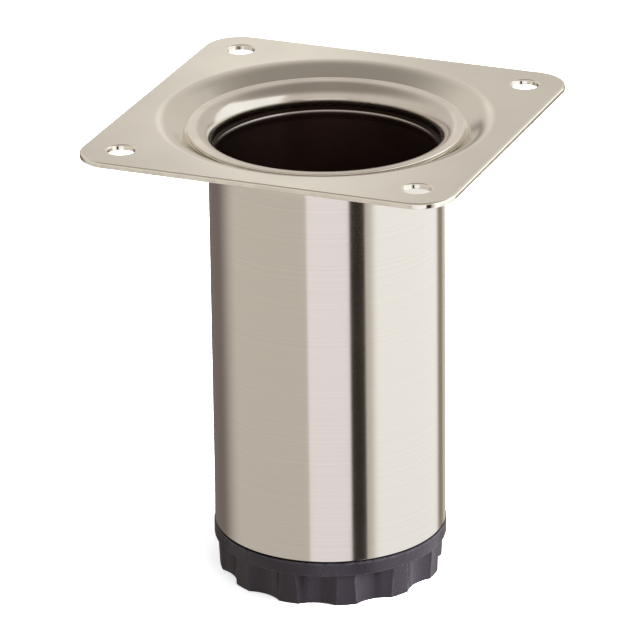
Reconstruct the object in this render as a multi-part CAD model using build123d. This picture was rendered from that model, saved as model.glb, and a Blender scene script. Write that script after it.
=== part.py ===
from build123d import *
from math import cos, radians, tan
import os

# Steel furniture leg with a screw-on plate and a screwed levelling foot.
# Millimetres, +Z up, origin at the centre of the foot's base, plate sides along X and Y.

# Steel tube
tube_radius = 25.0
tube_wall = 1.0
tube_reach = 91.8           # from the plate's top face down to the tube's lower end
tube_edge_round = 0.2

# Rolled rim that holds the plate from above
rim_proud = 4.4             # rim's outer edge beyond the tube
rim_slope = 6.0             # degrees, falling towards the bore
rim_roll = 2.1              # visible radius of the roll into the bore
rim_edge_round = 0.3
throat_draw = 0.95          # throat between rim and bead, inside the tube's outside radius

# Bead that holds the plate from below
bead_proud = 1.45           # tip of the bead's two flanks, beyond the neck
bead_flank = 1.13           # height of the upper flank
bead_height = 2.45
bead_round = 1.05
bead_root = 0.6             # inside of the fold under the plate
lip_neck = 0.32             # how far the lip under the bead is drawn in
lip_run = 1.5               # height over which the tube widens again
lip_round = 1.3
lip_blend = 3.0             # rounding where the lip runs out into the tube

# Mounting plate
plate_border = 4.95         # flat face left outside the dish at the middle of a side
plate_thickness = 1.25
plate_corner = 8.0
plate_edge_round = 0.45
dish_run = 6.9              # dish's cone from the rim's edge out to the flat face
dish_depth = 2.83           # flat face down to the seat, at the rim's outer edge
dish_crease = 6.0
dish_root = 1.5
seat_margin = 0.35          # seat beyond the rim's outer edge
neck_clearance = 0.15       # between the tube's neck and the plate's hole
neck_edge_round = 1.0
underside_round = 0.2
hole_inset = 8.5            # screw holes' centres in from the plate's sides
hole_diameter = 5.8
hole_edge_round = 0.4

# Levelling foot
foot_gap = 0.3              # between the tube's end and the foot, screwed right in
foot_height = 10.4
band_proud = 0.2            # plain band beyond the tube
band_height = 3.0
band_edge_round = 0.3
ledge_round = 0.15
land_set_back = 0.7         # lands behind the band, at their upper end
land_draft = 0.35           # how much further back they are at the base
flute_count = 12
flute_depth = 2.45          # flute's floor behind the band
flute_cutter_radius = 8.2
foot_phase = -0.75          # degrees, how far the foot happens to be turned at rest
base_edge_round = 0.25
land_edge_round = 0.35
foot_wall = 2.2
foot_roof = 2.6
foot_hub_wall = 3.0         # plastic round the stud's head
foot_rib_count = 12
foot_rib_thickness = 1.6
base_land = 0.6             # how far the ribs stand back from the base

# Threaded stud moulded into the foot
stud_diameter = 10.0
foot_travel = 15.0          # how far the foot screws out
stud_spare = 3.65           # thread left above the nut, screwed right out
stud_chamfer = 1.0
stud_floor = 1.8            # plastic under the stud's head
head_diameter = 16.0
head_height = 4.0
running_clearance = 0.05

# Nut and the plug that carries it
nut_across_flats = 17.0
nut_height = 8.0
nut_chamfer = 0.8
plug_recess = 0.6           # plug stands back from the tube's end
plug_height = 17.0
plug_wall = 2.0
plug_web = 4.0
plug_hub_wall = 3.2
plug_rib_count = 6
plug_rib_thickness = 1.8
grip_count = 12
grip_width = 1.2
grip_clearance = 0.05
grip_height = 0.4
grip_lead = 1.0             # grips stop short of the plug's ends
hole_clearance = 0.5        # stud through the plug's web
seat_gap = 0.05             # between pieces pressed or clinched together

root = 1.0                  # how far ribs and cuts run into or past what they meet

# Radii worked out from the tube outwards
bore_radius = tube_radius - tube_wall
throat_radius = tube_radius - throat_draw
neck_radius = throat_radius + tube_wall
rim_radius = tube_radius + rim_proud
dish_radius = rim_radius + dish_run
plate_hole_radius = neck_radius + neck_clearance
plate_side = 2 * (dish_radius + plate_border)
hole_spacing = plate_side - 2 * hole_inset
band_radius = tube_radius + band_proud
land_top_radius = band_radius - land_set_back
land_base_radius = land_top_radius - land_draft
flute_floor_radius = band_radius - flute_depth
foot_hub_radius = head_diameter / 2 + foot_hub_wall

# Heights worked out from the foot upwards
tube_bottom = foot_height + foot_gap
plate_top = tube_bottom + tube_reach
flute_top = foot_height - band_height
plug_bottom = tube_bottom + plug_recess
nut_bottom = plug_bottom + seat_gap
nut_top = nut_bottom + nut_height
web_bottom = nut_top + seat_gap
stud_top = nut_top + foot_travel + stud_spare


def seat_z(radius):
    """Height of the plate's seat under the rolled rim, at a radius."""
    return plate_top - dish_depth - (rim_radius - radius) * tan(radians(rim_slope))


def other_side(points, thickness):
    """The same line moved sideways by a sheet's thickness, to its left."""
    moved = []
    for i, here in enumerate(points):
        before = points[max(i - 1, 0)]
        after = points[min(i + 1, len(points) - 1)]
        normals = [
            Vector(a[1] - b[1], b[0] - a[0]).normalized()
            for a, b in ((before, here), (here, after))
            if a != b
        ]
        miter = normals[0] + normals[-1]
        shift = miter * (2 * thickness / miter.dot(miter))
        moved.append((here[0] + shift.X, here[1] + shift.Y))
    return moved


def turns_left(a, b, c):
    return (b[0] - a[0]) * (c[1] - b[1]) > (b[1] - a[1]) * (c[0] - b[0])


def sheet_ring(points, radii, thickness):
    """Ring of sheet metal from a line of radii and heights, thickened to the line's left."""
    far_points = other_side(points, thickness)
    far_radii = []
    for i, radius in enumerate(radii):
        grows = not turns_left(*points[i:i + 3])
        far_radii.append(radius + thickness if grows else radius - thickness)
    near = FilletPolyline(*[(r, 0, z) for r, z in points], radius=radii)
    far = FilletPolyline(*[(r, 0, z) for r, z in far_points], radius=far_radii)
    ends = [Line(near @ 0, far @ 0), Line(near @ 1, far @ 1)]
    return revolve(make_face([near, far] + ends), Axis.Z)


def turned(points):
    """Solid turned from a closed outline of radius and height."""
    outline = Polyline(*[(r, 0, z) for r, z in points], close=True)
    return revolve(make_face(outline), Axis.Z)


def disc(radius, bottom, top):
    return Pos(0, 0, bottom) * Cylinder(radius, top - bottom, align=(Align.CENTER, Align.CENTER, Align.MIN))


def spokes(count, thickness, inner, outer, bottom, top):
    """Flat ribs set like spokes about the axis."""
    length = outer - inner
    rib = Pos((inner + outer) / 2, 0, bottom) * Box(
        length, thickness, top - bottom, align=(Align.CENTER, Align.CENTER, Align.MIN)
    )
    return [Rot(0, 0, 360 * i / count) * rib for i in range(count)]


def edges_at(shape, radius, z, tolerance=0.02):
    """Circular edges of a given radius and height."""
    found = shape.edges().filter_by(GeomType.CIRCLE)
    return [
        e for e in found if abs(e.radius - radius) < tolerance and abs(e.arc_center.Z - z) < tolerance
    ]


def make_leg_tube():
    """Tube, drawn in to a lip, beaded under the plate and rolled over on top of it."""
    under_plate = seat_z(plate_hole_radius) - plate_thickness / cos(radians(rim_slope)) - seat_gap
    bead_bottom = under_plate - bead_height
    rim_under = seat_gap / cos(radians(rim_slope))
    outside = [
        (tube_radius, tube_bottom),
        (tube_radius, bead_bottom - lip_run),
        (tube_radius - lip_neck, bead_bottom),
        (neck_radius + bead_proud, under_plate - bead_flank),
        (neck_radius, under_plate),
        (neck_radius, seat_z(neck_radius) + rim_under),
        (rim_radius, seat_z(rim_radius) + rim_under),
    ]
    roll_inside = rim_roll - tube_wall
    corner_radii = [lip_blend, lip_round, bead_round, bead_root, roll_inside]
    tube = sheet_ring(outside, corner_radii, tube_wall)
    ends = edges_at(tube, tube_radius, tube_bottom) + edges_at(tube, bore_radius, tube_bottom)
    tube = fillet(ends, tube_edge_round)
    lip_edges = tube.edges().filter_by(GeomType.CIRCLE).group_by(lambda e: round(e.radius, 1))[-2:]
    return fillet([e for group in lip_edges for e in group], rim_edge_round)


def make_mounting_plate():
    """Square pressed plate, dished round its big hole to take the rolled rim."""
    seat_radius = rim_radius + seat_margin
    top_line = [
        (plate_side, plate_top),
        (dish_radius, plate_top),
        (seat_radius, seat_z(seat_radius)),
        (plate_hole_radius, seat_z(plate_hole_radius)),
    ]
    dished = sheet_ring(top_line, [dish_crease, dish_root], plate_thickness)
    outline = RectangleRounded(plate_side, plate_side, plate_corner)
    below = 2 * (dish_depth + plate_thickness)
    block = extrude(Pos(0, 0, plate_top - below) * outline, below + root)
    plate = dished & block
    underside = plate_top - plate_thickness
    screw_hole = disc(hole_diameter / 2, underside - root, plate_top + root)
    half = hole_spacing / 2
    for x in (-half, half):
        for y in (-half, half):
            plate -= Pos(x, y, 0) * screw_hole
    plate = fillet(edges_at(plate, plate_hole_radius, seat_z(plate_hole_radius)), neck_edge_round)
    top_face = plate.faces().filter_by(GeomType.PLANE).sort_by(Axis.Z)[-1]
    plate = fillet(top_face.outer_wire().edges(), plate_edge_round)
    plate = fillet(edges_at(plate, hole_diameter / 2, plate_top), hole_edge_round)
    plate = fillet(edges_at(plate, hole_diameter / 2, underside), underside_round)
    bottom_face = plate.faces().filter_by(GeomType.PLANE).sort_by(Axis.Z)[0]
    return fillet(bottom_face.outer_wire().edges(), underside_round)


def make_foot():
    """Moulded foot: plain band over a grip of lands and hollow flutes, ribbed underneath."""
    body = turned([
        (0, 0),
        (land_base_radius, 0),
        (land_top_radius, flute_top),
        (band_radius, flute_top),
        (band_radius, foot_height),
        (0, foot_height),
    ])
    flute_centre = flute_floor_radius + flute_cutter_radius
    flute = Pos(flute_centre, 0, 0) * disc(flute_cutter_radius, -root, flute_top)
    pitch = 360 / flute_count
    for i in range(flute_count):
        body -= Rot(0, 0, foot_phase + pitch * (i + 0.5)) * flute
    body = fillet(body.faces().sort_by(Axis.Z)[0].outer_wire().edges(), base_edge_round)
    land_edges = [
        e for e in body.edges()
        if e.bounding_box().size.Z > flute_top / 2 and e.bounding_box().min.Z < 2 * base_edge_round
    ]
    body = fillet(land_edges, land_edge_round)
    body = fillet(edges_at(body, band_radius, foot_height), band_edge_round)
    body = fillet(edges_at(body, band_radius, flute_top), ledge_round)
    roof = foot_height - foot_roof
    pocket = disc(flute_floor_radius - foot_wall, -root, roof) - disc(foot_hub_radius, -root, roof)
    ribs = spokes(
        foot_rib_count, foot_rib_thickness, foot_hub_radius - root, flute_floor_radius, base_land, roof
    )
    for rib in ribs:
        pocket -= Rot(0, 0, foot_phase) * rib
    body -= pocket
    return body - stud_shape(running_clearance)


def stud_shape(grown):
    """Stud with its round head; grown is the clearance added all round."""
    head = disc(head_diameter / 2 + grown, stud_floor - grown, stud_floor + head_height + grown)
    shank = disc(stud_diameter / 2 + grown, stud_floor, stud_top)
    return head + shank


def make_stud():
    stud = stud_shape(0)
    return chamfer(edges_at(stud, stud_diameter / 2, stud_top), stud_chamfer)


def hexagon(across_flats, bottom, top):
    outline = RegularPolygon(across_flats / 2, 6, major_radius=False)
    return extrude(Pos(0, 0, bottom) * outline, top - bottom)


def make_nut():
    """Hexagon nut with both faces chamfered at the corners."""
    nut = hexagon(nut_across_flats, nut_bottom, nut_top)
    rim = nut_across_flats / 2
    bevel = turned([
        (0, nut_bottom),
        (rim, nut_bottom),
        (rim + 2 * nut_chamfer, nut_bottom + nut_chamfer),
        (rim + 2 * nut_chamfer, nut_top - nut_chamfer),
        (rim, nut_top),
        (0, nut_top),
    ])
    nut = nut & bevel
    return nut - disc(stud_diameter / 2 + running_clearance, nut_bottom - root, nut_top + root)


def make_plug():
    """Moulded plug pressed into the tube: skirt, ribs, hub and a web above the nut."""
    top = plug_bottom + plug_height
    skirt_radius = bore_radius - grip_clearance - grip_height
    skirt_inside = skirt_radius - plug_wall
    web_top = web_bottom + plug_web
    hub_radius = nut_across_flats / 2 / cos(radians(30)) + plug_hub_wall
    plug = disc(skirt_radius, plug_bottom, top) - disc(skirt_inside, plug_bottom - root, top + root)
    plug += disc(skirt_inside + plug_wall / 2, web_bottom, web_top)
    plug += disc(hub_radius, plug_bottom, web_top)
    ribs = spokes(
        plug_rib_count, plug_rib_thickness, hub_radius - root, skirt_inside + root, plug_bottom, web_top
    )
    grips = spokes(
        grip_count, grip_width, skirt_radius - root, bore_radius - grip_clearance,
        plug_bottom + grip_lead, top - grip_lead,
    )
    for rib in ribs + grips:
        plug += rib
    plug -= hexagon(nut_across_flats + 2 * seat_gap, plug_bottom - root, web_bottom)
    return plug - disc(stud_diameter / 2 + hole_clearance, plug_bottom, top + root)


parts = {
    "leg_tube": make_leg_tube(),
    "mounting_plate": make_mounting_plate(),
    "tube_plug": make_plug(),
    "plug_nut": make_nut(),
    "foot_stud": make_stud(),
    "adjustable_foot": make_foot(),
}

os.makedirs("parts", exist_ok=True)
for name, shape in parts.items():
    export_step(shape, f"parts/{name}.step")
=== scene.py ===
"""Looks for a steel furniture leg: tube, mounting plate and levelling foot, on a pale floor."""

import math

import bmesh
import bpy
from mathutils import Matrix, Vector


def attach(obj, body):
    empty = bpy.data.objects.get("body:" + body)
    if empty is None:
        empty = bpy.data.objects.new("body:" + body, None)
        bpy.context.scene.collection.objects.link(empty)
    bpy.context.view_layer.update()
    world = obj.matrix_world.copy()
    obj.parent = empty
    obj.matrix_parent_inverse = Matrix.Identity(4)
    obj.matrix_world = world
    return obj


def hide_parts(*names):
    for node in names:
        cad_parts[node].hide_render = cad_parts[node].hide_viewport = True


bl_info = {
    "name": "Furniture Leg",
    "version": (1, 0, 0),
    "blender": (4, 5, 0),
    "location": "View3D > Sidebar > Furniture Leg",
    "description": "Builds a brushed steel furniture leg with its plate and levelling foot",
    "category": "Add Mesh",
}

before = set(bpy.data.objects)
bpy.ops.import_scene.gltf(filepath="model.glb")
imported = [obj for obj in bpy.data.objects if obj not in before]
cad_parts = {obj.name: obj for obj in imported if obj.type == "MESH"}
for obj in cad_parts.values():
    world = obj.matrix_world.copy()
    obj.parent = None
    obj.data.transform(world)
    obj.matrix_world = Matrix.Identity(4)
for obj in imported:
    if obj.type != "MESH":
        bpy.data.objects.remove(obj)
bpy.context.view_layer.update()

MM = 0.001
ARC_STEP = math.radians(9)       # widest step round a rounded corner
SUPPORT = 0.4 * MM               # points this near an arc's ends keep its shading off the faces
SHARP_RADIUS = 1.3 * MM          # outer roundings under this radius count as edges
SHARP_TURN = 0.5                 # and turn by more than this, in radians
WELD_GRID = 1e7                  # places that round to the same tenth of a micron are welded
EDGE_MARK = "edge_wear_and_highlight"        # vertex attribute, 1 on rounded outer edges
HALF_MARK, SOFT_MARK = 0.5, 0.6  # its value where a marked edge ends, and on a duller edge
LATHE_COLUMNS = 256              # points round a turned piece
HOLE_COLUMNS = 64                # points round a screw hole
THREAD_COLUMNS = 72              # points round a thread
THREAD_STEPS = 16                # rings for one turn of a thread
NUT_COLUMNS = 144                # points round the nut
CORNER_STEPS = 14                # steps round a corner of the plate
LEAN = math.sqrt(0.5)            # both parts of a normal on a 45 degree chamfer


# Settings

def length(label, millimetres, description):
    """A size, given in millimetres and kept in metres."""
    return bpy.props.FloatProperty(
        name=label, description=description, default=millimetres * MM,
        min=0.0, unit="LENGTH", precision=5,
    )


def angle(label, degrees, description):
    """An angle, given in degrees and kept in radians."""
    return bpy.props.FloatProperty(
        name=label, description=description, default=math.radians(degrees), subtype="ANGLE"
    )


def colour(label, value, description):
    """A linear colour."""
    return bpy.props.FloatVectorProperty(
        name=label, description=description, default=value, size=3,
        min=0.0, max=1.0, subtype="COLOR",
    )


def share(label, value, description):
    """A value between 0 and 1."""
    return bpy.props.FloatProperty(
        name=label, description=description, default=value, min=0.0, max=1.0, subtype="FACTOR"
    )


class TubeSettings(bpy.types.PropertyGroup):
    """Sizes and finish of the steel tube."""

    radius: length("Radius", 25.0, "Outside radius of the tube")
    wall: length("Wall", 1.0, "Thickness of the tube's sheet")
    bottom: length("Lower end", 10.7, "Height of the tube's lower end")
    end_round: length("End rounding", 0.2, "Rounding of the cut lower end")
    rim_radius: length("Rim radius", 29.4, "Outside radius of the rolled rim")
    rim_slope: angle("Rim slope", 6.0, "Fall of the rolled rim towards the bore")
    rim_roll: length("Rim roll", 2.1, "Radius where the tube turns out under the rim")
    flare: length("Flare", 4.0, "Visible radius where the rim curves down into the bore")
    flare_end: length("Flare's end", 6.35, "Depth of the flare's lower end under the plate's face")
    groove: length("Groove", 0.45, "Depth of the dark groove under the flare")
    lip_depth: length("Lip depth", 7.75, "Depth of the lip in the bore under the plate's face")
    rim_round: length("Rim rounding", 0.3, "Rounding of the rim's outer edge")
    throat: length("Throat radius", 24.05, "Inside radius between rim and bead")
    bead_proud: length("Bead", 1.45, "How far the bead's flanks meet beyond the neck")
    bead_flank: length("Bead flank", 1.13, "Height of the bead's upper flank")
    bead_height: length("Bead height", 2.45, "Height of the whole bead")
    bead_round: length("Bead rounding", 1.05, "Outside rounding of the bead")
    lip_in: length("Lip", 0.32, "How far the tube is drawn in under the bead")
    lip_run: length("Lip run", 1.5, "Height over which the tube widens again")
    steel: colour("Steel", (0.80, 0.765, 0.70), "Colour of the brushed steel")
    # Painted shade: the bore's dark colour stands in for the shade inside the deep tube.
    bore: colour("Bore", (0.088, 0.050, 0.040), "Colour of the unbrushed bore")
    gloss: share("Roughness", 0.14, "Roughness of the brushed steel")
    rim_gloss: share("Rim roughness", 0.16, "Roughness of the rolled rim")


class PlateSettings(bpy.types.PropertyGroup):
    """Sizes and finish of the pressed mounting plate."""

    side: length("Side", 82.5, "Side of the square plate")
    thickness: length("Thickness", 1.25, "Thickness of the sheet")
    corner: length("Corner radius", 8.0, "Radius of the plate's corners")
    top: length("Top", 102.5, "Height of the plate's top face")
    edge_round: length("Edge rounding", 0.45, "Rounding of the top edge")
    under_round: length("Lower rounding", 0.2, "Rounding of the lower edges")
    dish_radius: length("Dish radius", 34.2, "Radius where the dish leaves the flat face")
    dish_depth: length("Dish depth", 2.83, "Depth of the dish at the rim's edge")
    dish_crease: length("Dish crease", 6.8, "Rounding where the dish begins")
    dish_root: length("Dish root", 1.5, "Rounding at the foot of the dish")
    seat_margin: length("Seat margin", 0.35, "Seat beyond the rim's outer edge")
    neck_clearance: length("Neck clearance", 0.15, "Gap between the plate's hole and the neck")
    neck_round: length("Neck rounding", 1.0, "Rounding of the big hole's upper edge")
    seat_gap: length("Seat gap", 0.05, "Gap between the clinched pieces")
    hole_spacing: length("Hole spacing", 65.5, "Distance between the screw holes")
    hole_radius: length("Hole radius", 2.9, "Radius of the screw holes")
    hole_round: length("Hole rounding", 0.4, "Rounding of the screw holes' upper edge")
    steel: colour("Steel", (0.86, 0.842, 0.765), "Colour of the satin plated steel")
    gloss: share("Roughness", 0.17, "Roughness of the satin face")


class FootSettings(bpy.types.PropertyGroup):
    """Sizes and finish of the moulded levelling foot."""

    height: length("Height", 10.4, "Height of the foot")
    band_radius: length("Band radius", 25.2, "Radius of the plain band under the tube")
    band_height: length("Band height", 3.0, "Height of the plain band")
    band_round: length("Band rounding", 0.3, "Rounding of the band's upper edge")
    ledge_round: length("Ledge rounding", 0.15, "Rounding of the band's lower edge")
    land_top: length("Land radius, top", 24.5, "Radius of the lands under the band")
    land_base: length("Land radius, base", 24.15, "Radius of the lands at the base")
    land_round: length("Land rounding", 0.35, "Rounding along the lands' edges")
    base_round: length("Base rounding", 0.25, "Rounding of the base's outer edge")
    flutes: bpy.props.IntProperty(
        name="Flutes", description="Number of hollow flutes", default=12, min=3
    )
    flute_floor: length("Flute floor", 22.75, "Radius of the flutes' floors")
    flute_radius: length("Flute radius", 8.2, "Radius of the hollow of a flute")
    phase: angle("Turn", -0.75, "How far the foot happens to be turned at rest")
    wall: length("Wall", 2.2, "Wall left behind the flutes")
    roof: length("Roof", 2.6, "Thickness over the ribbed pocket")
    hub_radius: length("Hub radius", 11.0, "Radius of the hub that holds the stud")
    rib: length("Rib", 1.6, "Thickness of the ribs")
    rib_set_back: length("Rib set back", 0.6, "How far the ribs stand back from the base")
    plastic: colour("Plastic", (0.0065, 0.0052, 0.0078), "Colour of the moulded plastic")
    gloss: share("Roughness", 0.26, "Roughness of the moulded plastic")


class ScrewSettings(bpy.types.PropertyGroup):
    """Sizes and finish of the stud, its nut and the plug."""

    stud_radius: length("Stud radius", 5.0, "Outside radius of the thread")
    stud_top: length("Stud top", 38.0, "Height of the stud's upper end")
    stud_floor: length("Stud floor", 1.8, "Plastic under the stud's head")
    stud_chamfer: length("Stud chamfer", 1.0, "Chamfer of the stud's upper end")
    head_radius: length("Head radius", 8.0, "Radius of the moulded-in head")
    head_height: length("Head height", 4.0, "Height of the moulded-in head")
    pitch: length("Pitch", 1.5, "Pitch of the thread")
    thread_depth: length("Thread depth", 0.85, "Depth of the stud's thread")
    clearance: length("Clearance", 0.05, "Running clearance round the stud")
    nut_flats: length("Across flats", 17.0, "Width of the nut across its flats")
    nut_bottom: length("Nut bottom", 11.35, "Height of the nut's lower face")
    nut_height: length("Nut height", 8.0, "Height of the nut")
    nut_chamfer: length("Nut chamfer", 0.8, "Height of the nut's corner chamfers")
    zinc: colour("Zinc", (0.62, 0.63, 0.64), "Colour of the zinc plating")
    plug: colour("Plug", (0.030, 0.029, 0.030), "Colour of the plug's plastic")
    gloss: share("Roughness", 0.30, "Roughness of the zinc plating")


class StageSettings(bpy.types.PropertyGroup):
    """Camera, floor and studio light."""

    camera_place: bpy.props.FloatVectorProperty(
        name="Camera", description="Place of the camera", default=(0.38722, -0.97456, 0.49233),
        size=3, subtype="TRANSLATION", precision=5,
    )
    heading: angle("Heading", 21.7667, "Way the camera looks, turned from +Y")
    tilt: angle("Tilt", 22.5842, "How far the camera looks down")
    roll: angle("Roll", -0.6972, "Turn of the camera about its own axis")
    lens: bpy.props.FloatProperty(
        name="Lens", description="Focal length on a 36 mm sensor", default=299.06,
        min=1.0, subtype="DISTANCE_CAMERA",
    )
    floor: colour("Floor", (0.86, 0.86, 0.86), "Colour of the floor")
    floor_half: length("Floor", 6000.0, "Half the floor's side")
    card: share("Card", 0.24, "Brightness of the card behind the leg")


# Rounded outlines, in radius and height

def unit(x, y):
    """The same direction, one unit long."""
    size = math.hypot(x, y)
    return x / size, y / size


def rounded_line(corners, radii, closed=False):
    """Points (place, normal, mark) along a line with rounded corners, its solid on the left."""
    count = len(corners)
    line = []
    for i, (x, y) in enumerate(corners):
        if not closed and i in (0, count - 1):
            a, b = (corners[0], corners[1]) if i == 0 else (corners[-2], corners[-1])
            u, v = unit(b[0] - a[0], b[1] - a[1])
            line.append([((x, y), (v, -u), 0.0)])
            continue
        before, after = corners[i - 1], corners[(i + 1) % count]
        u = unit(x - before[0], y - before[1])
        v = unit(after[0] - x, after[1] - y)
        turn = math.atan2(u[0] * v[1] - u[1] * v[0], u[0] * v[0] + u[1] * v[1])
        radius = radii[i]
        reach = radius * math.tan(abs(turn) / 2)
        side = 1 if turn > 0 else -1
        start = (x - u[0] * reach, y - u[1] * reach)
        centre = (start[0] - side * u[1] * radius, start[1] + side * u[0] * radius)
        steps = max(2, math.ceil(abs(turn) / ARC_STEP))
        arc = []
        for k in range(steps + 1):
            swing = turn * k / steps
            c, s = math.cos(swing), math.sin(swing)
            normal = (u[1] * c + u[0] * s, u[1] * s - u[0] * c)
            place = tuple(at + side * radius * way for at, way in zip(centre, normal))
            sharp = side > 0 and radius < SHARP_RADIUS and abs(turn) > SHARP_TURN
            mark = (HALF_MARK if k in (0, steps) else 1.0) if sharp else 0.0
            arc.append((place, normal, mark))
        line.append(arc)
    points = []
    for i, group in enumerate(line):
        points += group
        if i == len(line) - 1 and not closed:
            break
        (ax, ay), _, _ = group[-1]
        (bx, by), _, _ = line[(i + 1) % count][0]
        gap = math.hypot(bx - ax, by - ay)
        if gap > 3 * SUPPORT:
            u = ((bx - ax) / gap, (by - ay) / gap)
            for at in (SUPPORT, gap - SUPPORT):
                points.append(((ax + u[0] * at, ay + u[1] * at), (u[1], -u[0]), 0.0))
    return points


def other_side(points, thickness):
    """The same line moved sideways by a sheet's thickness, to its left."""
    moved = []
    for i, (x, y) in enumerate(points):
        normals = []
        if i > 0:
            u = unit(x - points[i - 1][0], y - points[i - 1][1])
            normals.append((-u[1], u[0]))
        if i < len(points) - 1:
            u = unit(points[i + 1][0] - x, points[i + 1][1] - y)
            normals.append((-u[1], u[0]))
        mx, my = normals[0][0] + normals[-1][0], normals[0][1] + normals[-1][1]
        scale = 2 * thickness / (mx * mx + my * my)
        moved.append((x + mx * scale, y + my * scale))
    return moved


def corner_arc(radius, height, rounding, out, up, steps, level_first):
    """Points (radius, height, normal out, normal up, mark) round a corner of a turned piece.

    The upright face looks the way of out and the level face the way of up, each 1 or -1.
    """
    arc = []
    for k in range(steps + 1):
        t = math.radians(90 * k / steps)
        a, b = (math.sin(t), math.cos(t)) if level_first else (math.cos(t), math.sin(t))
        r, z = radius - out * rounding * (1 - a), height - up * rounding * (1 - b)
        arc.append((r, z, out * a, up * b, 1.0))
    return arc


# Meshes

def put(name, data):
    """A new object in the scene."""
    thing = bpy.data.objects.new(name, data)
    bpy.context.scene.collection.objects.link(thing)
    return thing


class Skin:
    """Faces gathered patch by patch, with a normal for each corner and a mark for each point."""

    def __init__(self):
        self.places, self.normals, self.marks, self.faces = [], [], [], []

    def patch(self, points, faces):
        """Adds (place, normal, mark) points and the faces between them."""
        start = len(self.places)
        for place, normal, mark in points:
            self.places.append(tuple(place))
            self.normals.append(tuple(normal))
            self.marks.append(mark)
        self.faces += [tuple(start + i for i in face) for face in faces]

    def rows(self, rows, closed_rows=False):
        """Adds rings of points, each ring joined to the next."""
        columns = len(rows[0])
        points = [point for row in rows for point in row]
        last = len(rows) if closed_rows else len(rows) - 1
        faces = []
        for i in range(last):
            a, b = i * columns, (i + 1) % len(rows) * columns
            for j in range(columns):
                k = (j + 1) % columns
                faces.append((a + j, a + k, b + k, b + j))
        self.patch(points, faces)

    def turned(self, line, columns=LATHE_COLUMNS, closed=False, centre=(0, 0)):
        """Adds a line of radius and height turned round a vertical axis."""
        turns = [2 * math.pi * j / columns for j in range(columns)]
        rows = []
        for (r, z), (nr, nz), mark in line:
            rows.append([
                (
                    (centre[0] + r * math.cos(t), centre[1] + r * math.sin(t), z),
                    (nr * math.cos(t), nr * math.sin(t), nz),
                    mark,
                )
                for t in turns
            ])
        self.rows(rows, closed)

    def flat(self, loops, up):
        """Adds a level face between an outer loop and the loops inside it."""
        bm = bmesh.new()
        edges, places = [], []
        for loop in loops:
            ring = [bm.verts.new(place) for place in loop]
            edges += [bm.edges.new((ring[i - 1], ring[i])) for i in range(len(ring))]
            places += loop
        bmesh.ops.triangle_fill(
            bm, use_beauty=True, use_dissolve=False, edges=edges, normal=(0, 0, 1)
        )
        bm.verts.index_update()
        faces = []
        for face in bm.faces:
            corners = [v.index for v in face.verts]
            faces.append(corners if (face.normal.z > 0) == up else corners[::-1])
        normal = (0, 0, 1 if up else -1)
        self.patch([(place, normal, 0.0) for place in places], faces)
        bm.free()

    def make(self, name):
        """Welds the patches into one mesh object."""
        welded, places, marks, source = {}, [], [], []
        for place, mark in zip(self.places, self.marks):
            key = tuple(round(c * WELD_GRID) for c in place)
            if key not in welded:
                welded[key] = len(places)
                places.append(place)
                marks.append(mark)
            at = welded[key]
            marks[at] = max(marks[at], mark)
            source.append(at)
        faces, corner_normals = [], []
        for face in self.faces:
            kept = []
            for i in face:
                if source[i] not in [source[k] for k in kept]:
                    kept.append(i)
            if len(kept) < 3:
                continue
            faces.append([source[i] for i in kept])
            corner_normals += [self.normals[i] for i in kept]
        mesh = bpy.data.meshes.new(name)
        mesh.from_pydata(places, [], faces)
        mesh.shade_smooth()
        mark_layer = mesh.attributes.new(EDGE_MARK, "FLOAT", "POINT")
        mark_layer.data.foreach_set("value", marks)
        mesh.normals_split_custom_set(corner_normals)
        mesh.update()
        return put(name, mesh)


def ring_at(radius, z, columns=LATHE_COLUMNS, centre=(0, 0)):
    """Places round a level circle."""
    turns = [2 * math.pi * j / columns for j in range(columns)]
    return [(centre[0] + radius * math.cos(t), centre[1] + radius * math.sin(t), z) for t in turns]


# Shader nodes

class Tree:
    """Adds nodes to a node tree, one call each."""

    def __init__(self, tree):
        self.tree = tree

    def link(self, value, socket):
        self.tree.links.new(value, socket)

    def add(self, kind, inputs=None, **settings):
        """Adds a node with its settings, and links or sets its inputs."""
        node = self.tree.nodes.new(kind)
        for key, value in settings.items():
            setattr(node, key, value)
        for key, value in (inputs or {}).items():
            if isinstance(value, bpy.types.NodeSocket):
                self.link(value, node.inputs[key])
            else:
                node.inputs[key].default_value = value
        return node

    def maths(self, operation, a, b=0.0, c=0.0):
        return self.add("ShaderNodeMath", {0: a, 1: b, 2: c}, operation=operation).outputs[0]

    def parts(self, vector):
        """A vector's three parts."""
        return self.add("ShaderNodeSeparateXYZ", {0: vector}).outputs

    def span(self, value, low, high, out_low=0.0, out_high=1.0, smooth=True):
        """Value moved from one range to another, clamped at both ends."""
        ranges = {"From Min": low, "From Max": high, "To Min": out_low, "To Max": out_high}
        kind = "SMOOTHSTEP" if smooth else "LINEAR"
        return self.add(
            "ShaderNodeMapRange", {"Value": value, **ranges}, interpolation_type=kind
        ).outputs["Result"]

    def blend(self, share_of_b, a, b):
        """Mix of two colours."""
        a, b = (
            value if isinstance(value, bpy.types.NodeSocket) else (*value[:3], 1.0)
            for value in (a, b)
        )
        return self.add("ShaderNodeMix", {0: share_of_b, 6: a, 7: b}, data_type="RGBA").outputs[2]

    def noise(self, vector, scale, detail, roughness):
        return self.add(
            "ShaderNodeTexNoise",
            {"Vector": vector, "Scale": scale, "Detail": detail, "Roughness": roughness},
        ).outputs["Fac"]


def cleared(holder):
    """The emptied node tree of a material or the world."""
    holder.use_nodes = True
    holder.node_tree.nodes.clear()
    return Tree(holder.node_tree)


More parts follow.
